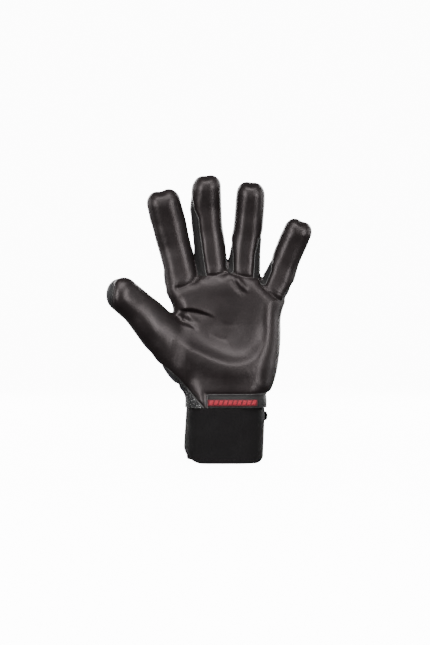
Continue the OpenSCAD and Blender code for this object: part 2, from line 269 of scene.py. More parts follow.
def outline_distance(x, z, curve):
    """Signed distance in X and Z to a closed curve, negative inside."""
    shape, x, z = x.shape, x.ravel(), z.ravel()
    best = np.full(x.shape, 1e9)
    inside = np.zeros(x.shape, bool)
    for (ax, az), (bx, bz) in zip(curve, np.roll(curve, -1, 0)):
        ex, ez = bx - ax, bz - az
        t = np.clip(((x - ax) * ex + (z - az) * ez) / (ex * ex + ez * ez), 0, 1)
        best = np.minimum(best, (x - ax - t * ex) ** 2 + (z - az - t * ez) ** 2)
        crosses = ((az > z) != (bz > z)) & (x < ax + (z - az) * ex / (ez if ez else 1e-9))
        inside ^= crosses
    return (np.where(inside, -1, 1) * np.sqrt(best)).reshape(shape)


# The crest round the hollow of the palm: along the thumb, through the heel and up the little finger's side
CREST = [(-72, 130), (-50, 116), (-28, 104), (-6, 94.5), (12, 90.5), (28, 95), (39, 108), (44, 128), (44, 150),
         (37, 164)]
CREST_HEIGHT = [(0, 6.0), (0.25, 8.8), (0.45, 7.6), (0.6, 5.6), (0.72, 3.2), (0.85, 1.8), (1, 1.0)]


def along_curve(x, z, points):
    """For a curve in X and Z: signed distance to it, positive on its left, and the share of its length."""
    pts = np.array(points, float)
    lengths = np.concatenate([[0], np.cumsum(np.linalg.norm(np.diff(pts, axis=0), axis=1))])
    best, side, share = np.full(x.shape, 1e9), np.zeros(x.shape), np.zeros(x.shape)
    for k, (a, b) in enumerate(zip(pts, pts[1:])):
        d = b - a
        t = np.clip(((x - a[0]) * d[0] + (z - a[1]) * d[1]) / (d @ d), 0, 1)
        rx, rz = x - a[0] - t * d[0], z - a[1] - t * d[1]
        gap = np.hypot(rx, rz)
        closer = gap < best
        best = np.where(closer, gap, best)
        side = np.where(closer, np.sign(d[0] * rz - d[1] * rx), side)
        share = np.where(closer, (lengths[k] + t * (lengths[k + 1] - lengths[k])) / lengths[-1], share)
    return best * side, share


def palm_front(x, z):
    """How far the palm stands forward of the middle plane, with its crest and its hollow."""
    d = np.interp(z, [44, 58, 66, 80, 100, 130, 160, 185], [27.6, 27.2, 25.6, 22.5, 19.0, 16.0, 15.0, 14.0])
    gap, share = along_curve(x, z, open_curve(CREST, 4))
    outer_width = np.interp(share, [0.62, 0.85], [15, 30])
    d = d + np.interp(share, *zip(*CREST_HEIGHT)) * bump(gap, 0, np.where(gap < 0, outer_width, 9.0))
    d = d + 1.2 * np.exp(-(((x - 4) / 34) ** 2) - ((z - 166) / 8) ** 2)
    return d - 3.5 * np.exp(-(((x - 2) / 20) ** 2) - ((z - 126) / 18) ** 2)


def palm_back(x, z):
    d = np.interp(z, [44, 58, 75, 100, 130, 160, 185], [27.6, 27.0, 23.0, 18.5, 16.5, 13.5, 12.0])
    return d + 1.2 * np.exp(-(((x - 4) / 30) ** 2) - ((z - 120) / 36) ** 2)


def hand_field():
    """Signed distance to the filled hand, on a grid: the palm with every digit blended in."""
    axes = [np.arange(a, b + VOXEL / 2, VOXEL) for a, b in zip(GRID_LOW, GRID_HIGH)]
    gx, gz = np.meshgrid(axes[0], axes[2], indexing="ij")
    outline = outline_distance(gx, gz, closed_curve(PALM_OUTLINE))[:, None, :]
    y = axes[1][None, :, None]
    front, back = palm_front(gx, gz)[:, None, :], palm_back(gx, gz)[:, None, :]
    # how round the palm's edge is: rounder at the wrist and on the little finger's side
    edge = np.interp(axes[2], [44, 62, 90, 150, 180], [24.0, 22.0, 17.0, 15.0, 12.0])[None, None, :]
    edge = edge + 3 * smooth(gx, 10, 38)[:, None, :] * np.interp(axes[2], [75, 95, 150, 172], [0, 1, 1, 0])
    palm = np.maximum(round_max(outline, -y - front, edge), round_max(outline, y - back, edge))
    field = palm.astype(np.float32)
    for name in ["thumb"] + FINGERS:
        d = digit[name]
        ends = np.array([d.point(-14), d.point(0), d.point(d.tip)])
        low, high = ends.min(0) - 32, ends.max(0) + 26
        cut = tuple(slice(max(0, int((l - g) / VOXEL)), max(0, int((h - g) / VOXEL))) for l, h, g in
                    zip(low, high, GRID_LOW))
        px, py, pz = np.meshgrid(*(a[c] for a, c in zip(axes, cut)), indexing="ij")
        p = np.stack([px, py, pz], -1)
        blend = 8.0 if name == "thumb" else 2.0
        field[cut] = soft_min(field[cut], d.distance(p).astype(np.float32), blend)
    return field


def surface(field):
    grid = openvdb.FloatGrid(10.0)
    grid.copyFromArray(field)
    grid.transform = openvdb.createLinearTransform(1.0)
    points, quads = grid.convertToQuads(0.0)
    return np.array(points, float) * VOXEL + GRID_LOW, np.array(quads, int)


def sample(field, p):
    """The field between its grid points."""
    q = (p - GRID_LOW) / VOXEL
    i = np.clip(q.astype(int), 0, np.array(field.shape) - 2)
    f = np.clip(q - i, 0, 1)
    total = 0
    for corner in itertools.product((0, 1), repeat=3):
        weight = np.abs(1 - np.array(corner) - f).prod(1)
        total = total + weight * field[tuple((i + corner).T)]
    return total


def face_edges(faces):
    """All the faces' first edges, then all their second ones and so on, each with its lower vertex first."""
    k = faces.shape[1]
    return np.sort(np.concatenate([faces[:, [i, (i + 1) % k]] for i in range(k)]), 1)


def relaxed(values, edges, times, share=0.5):
    """Each vertex's values drawn towards the mean of its neighbours."""
    n = len(values)
    values = values.reshape(n, -1).astype(float)
    degree = np.bincount(edges.ravel(), minlength=n)[:, None].clip(1)
    for _ in range(times):
        total = np.stack([np.bincount(edges[:, 0], values[edges[:, 1], c], n)
                          + np.bincount(edges[:, 1], values[edges[:, 0], c], n)
                          for c in range(values.shape[1])], 1)
        values = values + share * (total / degree - values)
    return values


def vertex_normals(v, tris):
    a, b, c = (v[tris[:, i]] for i in range(3))
    face = np.cross(b - a, c - a)
    total = np.stack([sum(np.bincount(corner, face[:, k], len(v)) for corner in tris.T) for k in range(3)], 1)
    return total / np.linalg.norm(total, axis=1, keepdims=True).clip(1e-12)


def split(v, tris, value):
    """Cuts every triangle where value, one number for each vertex, crosses zero."""
    value = np.where(np.abs(value) < SNAP, 0.0, value)
    edges, back = np.unique(face_edges(tris), axis=0, return_inverse=True)
    back = back.reshape(3, -1).T
    fa, fb = value[edges[:, 0]], value[edges[:, 1]]
    cross = fa * fb < 0
    new_id = np.full(len(edges), -1)
    new_id[cross] = len(v) + np.arange(cross.sum())
    t = (fa / np.where(cross, fa - fb, 1))[cross][:, None]
    v = np.concatenate([v, v[edges[cross, 0]] * (1 - t) + v[edges[cross, 1]] * t])
    mid = new_id[back]
    count = (mid >= 0).sum(1)
    out = [tris[count == 0]]
    one, m = tris[count == 1], mid[count == 1]
    turn = np.argmax(m >= 0, 1)[:, None]
    r = (turn + np.arange(3)) % 3
    one, m = np.take_along_axis(one, r, 1), np.take_along_axis(m, r, 1)
    out += [np.stack([one[:, 0], m[:, 0], one[:, 2]], 1), np.stack([m[:, 0], one[:, 1], one[:, 2]], 1)]
    two, m = tris[count == 2], mid[count == 2]
    turn = (np.argmin(m >= 0, 1)[:, None] + 2) % 3
    r = (turn + np.arange(3)) % 3
    two, m = np.take_along_axis(two, r, 1), np.take_along_axis(m, r, 1)
    out += [np.stack([two[:, 0], m[:, 0], m[:, 2]], 1), np.stack([m[:, 0], two[:, 1], two[:, 2]], 1),
            np.stack([m[:, 0], two[:, 2], m[:, 2]], 1)]
    return v, np.concatenate(out)


# ---------------------------------------------------------------- the sewing plan

# The seam where a finger meets the hand: in front a parabola across the finger, and a height at each side
FRONT_SEAM = {"index": (0.4, 0.13, 0.013), "middle": (0.6, 0.0, 0.012), "ring": (0.8, -0.13, 0.010),
              "little": (1.0, -0.30, 0.010)}
SIDE_SEAM = {"index": (3.0, 16.5), "middle": (11.5, 14.6), "ring": (15.7, 7.0), "little": (15.0, 3.0)}
BACK_SEAM = 6.5


def seam_height(name, across, out):
    """How far along a finger its seam with the hand lies."""
    c = FRONT_SEAM[name]
    front = c[0] + c[1] * across + c[2] * across ** 2
    left, right = SIDE_SEAM[name]
    side = left + (right - left) * smooth(across, -6, 6)
    height = front + (side - front) * smooth(out, -8.5, -3.5)
    return height + (BACK_SEAM - height) * smooth(out, 4.5, 9)


def rings(name):
    """Where a finger's pieces meet: halfway between its joints, where it stays straight."""
    stop = digit[name].stop
    return (stop[1] + stop[2]) / 2, (stop[2] + stop[3]) / 2


# How far across a finger its latex front reaches, at its left and right side and from its seat onwards
LATEX_REACH = {
    "index": ([(0, 19), (10, 17.0), (24, 15.1), (40, 15.2), (60, 15.6), (75, 17), (90, 19)],
              [(0, 15.5), (20, 18), (30, 19)]),
    "middle": ([(0, 7.2), (58, 7.8), (70, 12.0), (80, 14.6), (90, 17)], [(0, 12.5), (20, 15), (30, 17)]),
    "ring": ([(0, 10), (22, 12.4), (34, 15), (42, 17)], [(0, 9.8), (24, 9.8), (38, 12.0), (50, 17)]),
    "little": ([(0, 9.2), (22, 10), (36, 14), (44, 16)], [(0, 12), (16, 14), (26, 17)])}


def front_edge(name, along, across):
    """How far back the latex front of a finger reaches, along its length."""
    d = digit[name]
    left, right = (d.out_at(d.table(rows, along), along, FRONT_POWER) for rows in LATEX_REACH[name])
    edge = left + (right - left) * smooth(across, -5, 5)
    return edge + 4.0 * smooth(along, d.tip - 14, d.tip - 3)


def back_edge(name, along, across):
    """How far forward the back of a finger reaches. Towards the tip it meets the latex."""
    start = digit[name].stop[2] + 8
    return np.maximum(5.0 - 4.0 * smooth(along, start, start + 16), front_edge(name, along, across))


KINDS = ("latex", "gusset", "back")


def finger_side(name, a, o, s):
    """Which of KINDS a point on a finger belongs to, as its place in that list."""
    return np.where(o < front_edge(name, s, a), 0, np.where(o < back_edge(name, s, a), 1, 2))


def palm_side_line(p):
    """Zero on the seam between palm and back of the hand, positive behind it."""
    x, y, z = p.T
    t = digit["thumb"].local(p)
    w = smooth(t[2], 8, 34) * (x < -20) * smooth(np.maximum(-x - 45, 165 - z), 0, 8)
    # the latex draws back from the wrist's thumb side and shows the mesh
    notch = 34.0 * smooth(-(x + 21 + (z - 64) * 1.13), -2.0, 14.0) * smooth(-z, -96, -84)
    forward = 9.0 * smooth(-x, 30, 43) * smooth(-z, -128, -104)
    hand = y - 3.0 + forward + notch * (x < 0)
    thumb = t[1] - 3.5 + (2.0 + 6.0 * smooth(-t[0], -3, 6)) * smooth(t[2], 78, 95)
    return hand * (1 - w) + thumb * w


# ---------------------------------------------------------------- build the skin

field = hand_field()
skin, quads = surface(field)
tris = np.concatenate([quads[:, [0, 1, 2]], quads[:, [0, 2, 3]]])
edges = np.unique(face_edges(quads), axis=0)


def onto_surface(v):
    """Moves points along the field's slope to where it is zero."""
    step = 0.6
    for _ in range(2):
        g = np.stack([(sample(field, v + step * a) - sample(field, v - step * a)) / (2 * step)
                      for a in np.eye(3)], 1)
        d = sample(field, v)[:, None]
        v = v - d * g / (g * g).sum(1, keepdims=True).clip(0.1)
    return v


for _ in range(3):
    skin = onto_surface(relaxed(skin, edges, 2, 0.5))
if (vertex_normals(skin, tris)[:, 1] * (skin[:, 1] > 5)).sum() < 0:
    tris = tris[:, ::-1]


def within_reach(across, out, along):
    return (np.abs(across) < FINGER_REACH) & (np.abs(out) < FINGER_REACH) & (along > FINGER_START)


def finger_coordinates(p):
    """For every finger: across, out, along and whether the point is nearest to it."""
    table, dist = {}, []
    for name in FINGERS:
        d = digit[name]
        table[name] = d.local(p)
        dist.append(d.distance(p))
    nearest = np.argmin(np.stack(dist), 0)
    for k, name in enumerate(FINGERS):
        across, out, along = table[name]
        near = (nearest == k) & within_reach(across, out, along)
        table[name] = (across, out, along, near)
    return table


def finger_margin(p):
    """For every finger, how much nearer it is than the next one: zero on the line where two fingers meet."""
    dist = {name: digit[name].distance(p) for name in FINGERS}
    return {name: np.min([dist[other] for other in FINGERS if other != name], axis=0) - dist[name]
            for name in FINGERS}


def cut(value_of):
    """Cuts the skin where value_of, a function of points, is zero."""
    global skin, tris
    skin, tris = split(skin, tris, value_of(skin))


def masked(value, mask, away=-9.0):
    return np.where(mask, value, away)


# The open bottom, then the seams
cut(lambda p: p[:, 2] - HAND_BOTTOM)
tris = tris[skin[tris].mean(1)[:, 2] > HAND_BOTTOM]
cut(lambda p: p[:, 2] - HEM)
for name in FINGERS:
    def above(p, name=name):
        a, o, s, near = finger_coordinates(p)[name]
        margin = finger_margin(p)[name]
        here = (margin > -3) & within_reach(a, o, s)
        return masked(np.minimum(s - seam_height(name, a, o), margin), here)

    cut(above)
    for k in (0, 1):
        def ring(p, name=name, k=k):
            a, o, s, near = finger_coordinates(p)[name]
            return masked(s - rings(name)[k], near & (s > 18))

        cut(ring)
    for edge in (front_edge, back_edge):
        def side(p, name=name, edge=edge):
            a, o, s, near = finger_coordinates(p)[name]
            near = near | (np.abs(finger_margin(p)[name]) < 0.1) & (s < 40)
            return masked(o - edge(name, s, a), near & (s > seam_height(name, a, o) - ON_SEAM))

        cut(side)


def in_hand(p):
    """Whether points belong to the hand and not to a finger beyond its seam."""
    table = finger_coordinates(p)
    inside = np.ones(len(p), bool)
    for name in FINGERS:
        a, o, s, near = table[name]
        inside &= ~(near & (s > seam_height(name, a, o) + ON_SEAM))
    return inside


cut(lambda p: masked(palm_side_line(p), in_hand(p)))
THUMB_ROOT_X = -43.0
PAD_OUTLINE = [(-20, 92), (-31, 112), (-36, 136), (-39, 154), (-24, 163), (-8, 167), (12, 167), (30, 163),
               (46, 150), (46, 136), (43, 112), (33, 92), (6, 88)]


def pad_distance(p):
    return outline_distance(p[:, 0], p[:, 2], closed_curve(PAD_OUTLINE, 5))


def thumb_side(p):
    """Positive on the thumb's side of the line through its crotch."""
    x, y, z = p.T
    return np.minimum(THUMB_ROOT_X - x, -43.9 - 0.6 * (z - 135) - x)


cut(lambda p: masked(thumb_side(p), in_hand(p)))
cut(lambda p: masked(pad_distance(p), in_hand(p) & (p[:, 1] > 5)))
thumb_rings = (digit["thumb"].stop[1] - 13, (digit["thumb"].stop[1] + digit["thumb"].stop[2]) / 2)
for s0 in thumb_rings:
    cut(lambda p, s0=s0: masked(digit["thumb"].local(p)[2] - s0, thumb_side(p) > ON_SEAM))


def labels(p):
    """The sewn piece that each point belongs to."""
    out_names = np.full(len(p), "backhand", dtype=object)
    front = palm_side_line(p) < 0
    out_names[front] = "palm_latex"
    x, y, z = p.T
    out_names[~front & (p[:, 1] > 5) & (pad_distance(p) < 0)] = "back_pad"
    mesh = ~front & (x < -14) & (z < 98) & (y < 12.0)
    out_names[mesh] = "side_mesh"
    out_names[(z < HEM) & ((x > -15) | (y > 12))] = "wrist_band"
    on_thumb = thumb_side(p) > 0
    along = digit["thumb"].local(p)[2]
    part = np.digitize(along, thumb_rings)
    for k, word in enumerate(("root", "base", "tip")):
        for is_front, side in ((True, "latex"), (False, "back")):
            out_names[on_thumb & (part == k) & (front == is_front)] = f"thumb_{side}_{word}"
    for name, (a, o, s, near) in finger_coordinates(p).items():
        on = near & (s > seam_height(name, a, o))
        side = finger_side(name, a, o, s)
        part = np.digitize(s, rings(name))
        for k, word in enumerate(("base", "middle", "tip")):
            for j, kind in enumerate(KINDS):
                out_names[on & (part == k) & (side == j)] = f"{name}_{kind}_{word}"
    return out_names


piece_of = labels(skin[tris].mean(1))
names = sorted(set(piece_of))


# ---------------------------------------------------------------- relief: seams, folds and padding

def panel(name):
    """Pieces of one panel, cut apart only at rings along a digit, have no seam between them."""
    for word in ("_base", "_middle", "_tip", "_root"):
        name = name.replace(word, "")
    return {"thumb_latex": "palm_latex", "thumb_back": "backhand"}.get(name, name)


panel_of = {n: k for k, n in enumerate(sorted({panel(n) for n in names}))}
tri_panel = np.array([panel_of[panel(n)] for n in piece_of])
edge_panels = np.tile(tri_panel, 3)
unique_edges, which = np.unique(face_edges(tris), axis=0, return_inverse=True)
lowest, highest = np.full(len(unique_edges), 999), np.full(len(unique_edges), -1)
np.minimum.at(lowest, which.ravel(), edge_panels)
np.maximum.at(highest, which.ravel(), edge_panels)
seam_edges = unique_edges[lowest != highest]
seam_points = np.unique(seam_edges)
fingers = finger_coordinates(skin)
a, o, s, near = fingers["index"]
unsewn = near & (a < -5.5) & (s < 8) & (o < -2)  # here the palm runs straight into the index finger
seam_points = seam_points[~unsewn[seam_points]]
tree = KDTree(len(seam_points))
for k, i in enumerate(seam_points):
    tree.insert(skin[i], k)
tree.balance()
seam_gap = np.array([tree.find(v)[2] for v in skin])

normal = vertex_normals(skin, tris)
relief = 0.6 * smooth(seam_gap, 0.4, 7.0) - 1.3 * np.exp(-((seam_gap / 1.6) ** 2))
gusset = np.zeros(len(skin), bool)
gusset[tris[["gusset" in n for n in piece_of]]] = True
gusset[seam_points] = False
relief -= 1.2 * gusset * smooth(seam_gap, 0.2, 2.5)

faces_front = smooth(-normal[:, 1], 0.30, 0.75)
in_palm = in_hand(skin)


def palm_line(points):
    """For a line drawn on the palm: signed distance to it and share of its length, for every vertex."""
    return along_curve(skin[:, 0], skin[:, 2], open_curve(points))


# The flap of the palm that folds over the thumb's web, and the hollow behind it
gap, share = palm_line([(-46, 146), (-36, 144.5), (-27, 144), (-17, 141), (-6, 136.5)])
fade = smooth(share, 0.08, 0.32) * smooth(-share, -1.0, -0.55)
fold = np.where(gap > 0, 1.6 * np.exp(-gap / 6.0), -4.4 * np.exp(gap / 8.0))
fold = fold * smooth(np.abs(gap), 0.0, 0.9)
relief += fold * fade * faces_front * in_palm * (np.abs(gap) < 30)

# A short ridge of slack latex below the ring finger
gap, share = palm_line([(10, 177), (15, 171), (20, 165), (25, 160)])
ridge = 2.0 * bump(gap, 0, 2.6) - 1.6 * bump(gap, -4.5, 2.4)
relief += ridge * smooth(share, 0.0, 0.3) * smooth(-share, -1.0, -0.6) * faces_front * in_palm

# The crease of the thumb's web, below the flap
gap, share = palm_line([(-46, 138), (-38, 134.5), (-30, 131), (-20, 125.5)])
crease = -4.0 * bump(gap, 0, np.where(gap > 0, 4.5, 2.2))
relief += crease * smooth(-share, -1.0, -0.35) * smooth(share, 0.04, 0.26) * faces_front * in_palm

# Faint creases in the middle of the palm
for points, depth, width in (
        ([(-4, 134), (5, 130), (14, 130)], 0.25, 1.8),
        ([(-14, 123), (-4, 118), (6, 116)], 0.3, 2.0),
        ([(0, 121), (6, 112), (9, 105)], 0.2, 1.8)):
    gap, share = palm_line(points)
    fade = smooth(share, 0, 0.3) * smooth(-share, -1, -0.7)
    relief += -depth * bump(gap, 0, width) * fade * faces_front * in_palm

for name in FINGERS:
    a, o, s, near = fingers[name]
    d = digit[name]
    half = d.table(d.half_width, s)
    on_front = smooth(-o, 1, 6) * near
    # the tip is drawn in where front and back meet
    relief += -1.3 * np.exp(-((a / 5.0) ** 2)) * smooth(s, d.tip - 5.0, d.tip - 0.5) * near
    # a shallow channel down the middle leaves two soft ridges
    channel = smooth(s, 4, 16) * smooth(-s, -(d.tip - 8), -(d.tip - 22))
    relief += -0.45 * np.exp(-((a / (0.30 * half)) ** 2)) * on_front * channel
    # gathers where the finger is sewn to the palm
    relief += 0.28 * np.sin(s * 2.3) * np.exp(-((s - 4.5) / 3.0) ** 2) * on_front

# Embossed bars on the back's pad
pad = np.where((skin[:, 1] > 5) & in_palm, pad_distance(skin), 9.0)
bars = 0.5 + 0.5 * np.cos((skin[:, 2] + 0.012 * (skin[:, 0] - 4) ** 2) * 2 * math.pi / 11.0)
relief += 1.5 * smooth(-pad, 0.5, 3.5) - 0.9 * smooth(bars, 0.80, 0.97) * smooth(-pad, 3.0, 6.0)

wave = sum(np.sin(skin @ np.array(k) + ph) for k, ph in (
    ((0.11, 0.05, 0.07), 0.4), ((-0.06, 0.12, 0.10), 1.7), ((0.09, -0.07, -0.13), 3.0)))
relief += 0.12 * wave

crowd = np.sort(np.stack([digit[name].distance(skin) for name in FINGERS]), axis=0)[1]
relief = np.where((relief < 0) & ~in_palm, relief * smooth(crowd, 0.5, 5.0), relief)
calm = relaxed(relief, unique_edges, 2, 0.5)[:, 0]
relief = np.where(seam_gap < 1.2, relief, calm)
skin = skin + normal * relief[:, None]
normal = vertex_normals(skin, tris)
calm_normal = unit_rows(relaxed(normal, unique_edges, 6, 0.6))


# ---------------------------------------------------------------- piping along the seams

def piping(a, b):
    """Which panel carries the piping between two panels, and the radius of the piping."""
    pair = {a, b}
    if a.split("_")[0] == b.split("_")[0] and a.split("_")[0] in FINGERS:
        latex = [n for n in pair if "latex" in n]
        return (latex[0], 0.6) if latex else ([n for n in pair if "back" in n][0], 0.5)
    for one, other, radius in (("palm_latex", "backhand", 0.6), ("palm_latex", "side_mesh", 0.7),
                               ("palm_latex", "wrist_band", 0.65), ("back_pad", "backhand", 0.8),
                               ("backhand", "side_mesh", 0.6), ("backhand", "wrist_band", 0.6)):
        if pair == {one, other}:
            return one, radius
    return None


def chains(links):
    """Joins edges end to end into runs of points."""
    near = {}
    for a, b in links:
        near.setdefault(a, []).append(b)
        near.setdefault(b, []).append(a)
    runs, used = [], set()
    starts = [p for p in near if len(near[p]) != 2] + list(near)
    for start in starts:
        for nxt in near[start]:
            run, at = [start], nxt
            if frozenset((start, nxt)) in used:
                continue
            used.add(frozenset((start, nxt)))
            run.append(at)
            while len(near[at]) == 2:
                after = near[at][0] if near[at][1] == run[-2] else near[at][1]
                if frozenset((at, after)) in used:
                    break
                used.add(frozenset((at, after)))
                run.append(after)
                at = after
            runs.append(run)
    return runs


def ring_faces(rows, sides):
    """Four-sided faces between rows of points, each row a closed ring."""
    return [(row + k, row + (k + 1) % sides, row + sides + (k + 1) % sides, row + sides + k)
            for row in range(0, (rows - 1) * sides, sides) for k in range(sides)]


def tube(points, up, radius, sides=6):
    """A closed round bead along a run of points, with its faces and normals, or None if the run is short."""
    p, up = np.asarray(points, float), np.asarray(up, float)
    for _ in range(3):
        p[1:-1] = (p[:-2] + 2 * p[1:-1] + p[2:]) / 4
        up[1:-1] = (up[:-2] + 2 * up[1:-1] + up[2:]) / 4
    length = np.concatenate([[0], np.cumsum(np.linalg.norm(np.diff(p, axis=0), axis=1))])
    if length[-1] < 2.5:
        return None
    at = np.linspace(0, length[-1], max(3, int(length[-1] / 1.3)))
    p = np.stack([np.interp(at, length, p[:, k]) for k in range(3)], 1)
    up = np.stack([np.interp(at, length, up[:, k]) for k in range(3)], 1)
    along = unit_rows(np.gradient(p, axis=0))
    side = unit_rows(np.cross(along, up))
    up = np.cross(side, along)
    turn = np.linspace(0, 2 * math.pi, sides, endpoint=False)
    out = up[:, None] * np.cos(turn)[None, :, None] + side[:, None] * np.sin(turn)[None, :, None]
    rings = p[:, None] + radius * out
    tips = p[:1] - along[:1] * radius * 0.6, p[-1:] + along[-1:] * radius * 0.6
    v = np.concatenate([rings.reshape(-1, 3), *tips])
    n = len(p)
    faces = ring_faces(n, sides)
    faces += [(n * sides, (k + 1) % sides, k) for k in range(sides)]
    faces += [(n * sides + 1, (n - 1) * sides + k, (n - 1) * sides + (k + 1) % sides) for k in range(sides)]
    normals = np.concatenate([out.reshape(-1, 3), -along[:1], along[-1:]])
    return v, faces, normals


panel_name = {k: n for n, k in panel_of.items()}
first_tri, second_tri = np.full(len(unique_edges), len(tris)), np.full(len(unique_edges), -1)
np.minimum.at(first_tri, which.ravel(), np.tile(np.arange(len(tris)), 3))
np.maximum.at(second_tri, which.ravel(), np.tile(np.arange(len(tris)), 3))
piped = {}
for e in np.nonzero(lowest != highest)[0]:
    if highest[e] < 0 or first_tri[e] == second_tri[e]:
        continue
    rule = piping(panel_name[lowest[e]], panel_name[highest[e]])
    if rule:
        for t in (first_tri[e], second_tri[e]):
            if panel(piece_of[t]) == rule[0]:
                piped.setdefault((piece_of[t], rule[1]), []).append(tuple(unique_edges[e]))
beads = {}
for (name, radius), links in piped.items():
    for run in chains(links):
        made = tube(skin[run] + normal[run] * 0.1, normal[run], radius)
        if made:
            beads.setdefault(name, []).append(made)


# ---------------------------------------------------------------- pieces

def new_object(name, data):
    ob = bpy.data.objects.new(name, data)
    bpy.context.scene.collection.objects.link(ob)
    return ob


def new_mesh(name, v, faces, sharp=None, attributes=None, corner_normals=None):
    """A smooth mesh from millimetres, with its sharp edges, texture places and corner normals."""
    mesh = bpy.data.meshes.new(name)
    mesh.from_pydata((np.asarray(v) * MM).tolist(), [], [list(map(int, f)) for f in faces])
    mesh.polygons.foreach_set("use_smooth", [True] * len(mesh.polygons))
    if sharp is not None and len(sharp):
        keys = {tuple(sorted(e)) for e in np.asarray(sharp).tolist()}
        flags = [tuple(sorted(e.vertices)) in keys for e in mesh.edges]
        at = mesh.attributes.new("sharp_edge", "BOOLEAN", "EDGE")
        at.data.foreach_set("value", flags)
    for key, values in (attributes or {}).items():
        at = mesh.attributes.new(key, "FLOAT_VECTOR", "POINT")
        at.data.foreach_set("vector", np.asarray(values, np.float32).ravel())
    mesh.update()
    if corner_normals is not None:
        mesh.normals_split_custom_set(corner_normals.tolist())
    return new_object(name, mesh)


def closed_panel(name, outer, faces, inner, rest):
    """A panel with thickness: outer side, inner side, the rim between them, and its piping."""
    used, faces = np.unique(faces, return_inverse=True)
    faces = faces.reshape(-1, 3)
    outer, inner, rest = outer[used], inner[used], rest[used]
    n = len(used)
    directed = np.concatenate([faces[:, [0, 1]], faces[:, [1, 2]], faces[:, [2, 0]]])
    key = directed[:, 0] * n + directed[:, 1]
    border = directed[~np.isin(key, directed[:, 1] * n + directed[:, 0])]
    rim = np.stack([border[:, 1], border[:, 0], border[:, 0] + n, border[:, 1] + n], 1)
    sharp = np.concatenate([border, border + n])
    v = np.concatenate([outer, inner])
    flat = unit_rows(np.cross(v[rim[:, 1]] - v[rim[:, 0]], v[rim[:, 3]] - v[rim[:, 0]]))
    front, back = normal[used][faces].reshape(-1, 3), -normal[used][faces[:, ::-1]].reshape(-1, 3)
    corners = np.concatenate([front, back, np.repeat(flat, 4, 0)])
    all_faces = faces.tolist() + (faces[:, ::-1] + n).tolist() + rim.tolist()
    panel_faces = len(all_faces)
    v, corners, place = [v], [corners], [rest, inner - outer + rest]
    for bead_v, bead_faces, bead_normals in beads.get(name, []):
        start = sum(map(len, v))
        all_faces += [[i + start for i in f] for f in bead_faces]
        corners.append(bead_normals[[i for f in bead_faces for i in f]])
        v.append(bead_v)
        place.append(bead_v)
    ob = new_mesh(f"{name}_panel", np.concatenate(v), all_faces, sharp, {"rest": np.concatenate(place)},
                  np.concatenate(corners))
    if len(all_faces) > panel_faces:
        ob["piped"] = True
        slots = [0] * panel_faces + [1] * (len(all_faces) - panel_faces)
        ob.data.polygons.foreach_set("material_index", slots)
    return ob


def sewn_piece(name, thick, under=None):
    """One sewn piece of the skin. A finger's lowest pieces run on under the palm's edge."""
    mask = piece_of == name
    outer = skin.copy()
    if under is not None:
        finger, kind = under
        a, o, s, near = fingers[finger]
        seam = seam_height(finger, a, o)
        sunk = near & (s < seam + ON_SEAM)
        depth = np.clip((seam - s) * 0.9, 0, LAP_DEPTH) * sunk
        outer = outer - calm_normal * depth[:, None]
        a, o, s, near = finger_coordinates(skin[tris].mean(1))[finger]
        seam = seam_height(finger, a, o)
        lap = near & (s < seam) & (s > seam - LAP_LENGTH)
        mask = mask | (lap & (finger_side(finger, a, o, s) == kind))
    inner = outer - calm_normal * thick
    return closed_panel(name, outer, tris[mask], inner, skin)


piece = {}
for name in names:
    finger = name.split("_")[0]
    under = None
    if name.endswith("_base") and finger in FINGERS:
        under = (finger, KINDS.index(name.split("_")[1]))
    thick = LATEX_THICK if "latex" in name or name == "back_pad" else FABRIC_THICK
    piece[name] = sewn_piece(name, thick, under)


def between(ob, a, b, start, end):
    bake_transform(ob)


WRIST = ((0, 0, 55), (0, 0, 78))
for name, ob in piece.items():
    words = name.split("_")
    if name == "back_pad":
        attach(ob, "hand")
    elif words[0] == "thumb":
        d = digit["thumb"]
        if words[2] == "root":
            between(ob, "hand", "thumb_base", (THUMB_ROOT_X, 0, 0), (THUMB_ROOT_X - 7, 0, 0))
        elif words[2] == "base":
            between(ob, "thumb_base", "thumb_proximal", d.point(d.stop[1] - 12), d.point(d.stop[1] + 10))
        else:
            between(ob, "thumb_proximal", "thumb_distal", d.point(d.stop[2] - 12), d.point(d.stop[2] + 12))
    elif words[0] in FINGERS:
        finger, level = words[0], words[2]
        d = digit[finger]
        k = ("base", "middle", "tip").index(level)
        lower = (f"{finger}_base", f"{finger}_proximal", f"{finger}_middle")[k]
        upper = (f"{finger}_proximal", f"{finger}_middle", f"{finger}_distal")[k]
        reach = (11, 13, 11)[k]
        between(ob, lower, upper, d.point(d.stop[k + 1] - reach), d.point(d.stop[k + 1] + reach))
    else:
        between(ob, "cuff", "hand", *WRIST)

STANDS_FOR = {"palm_latex": ["palm_latex", "wrist_fold"], "backhand": ["backhand"], "back_pad": ["back_pad"],
              "side_mesh": ["side_mesh"], "thumb_latex_root": ["thumb_base_fold"],
              "thumb_latex_base": ["thumb_front_proximal"], "thumb_back_base": ["thumb_back_proximal"],
              "thumb_latex_tip": ["thumb_front_distal", "thumb_ip_fold"],
              "thumb_back_tip": ["thumb_back_distal"]}
for f in FINGERS:
    STANDS_FOR |= {f"{f}_latex_base": [f"{f}_base_fold", f"{f}_front_proximal"],
                   f"{f}_gusset_base": [f"{f}_gussets"],
                   f"{f}_latex_middle": [f"{f}_pip_fold", f"{f}_front_middle"],
                   f"{f}_latex_tip": [f"{f}_dip_fold", f"{f}_front_distal"],
                   f"{f}_back_base": [f"{f}_back_proximal"], f"{f}_back_middle": [f"{f}_back_middle"],
                   f"{f}_back_tip": [f"{f}_back_distal"]}
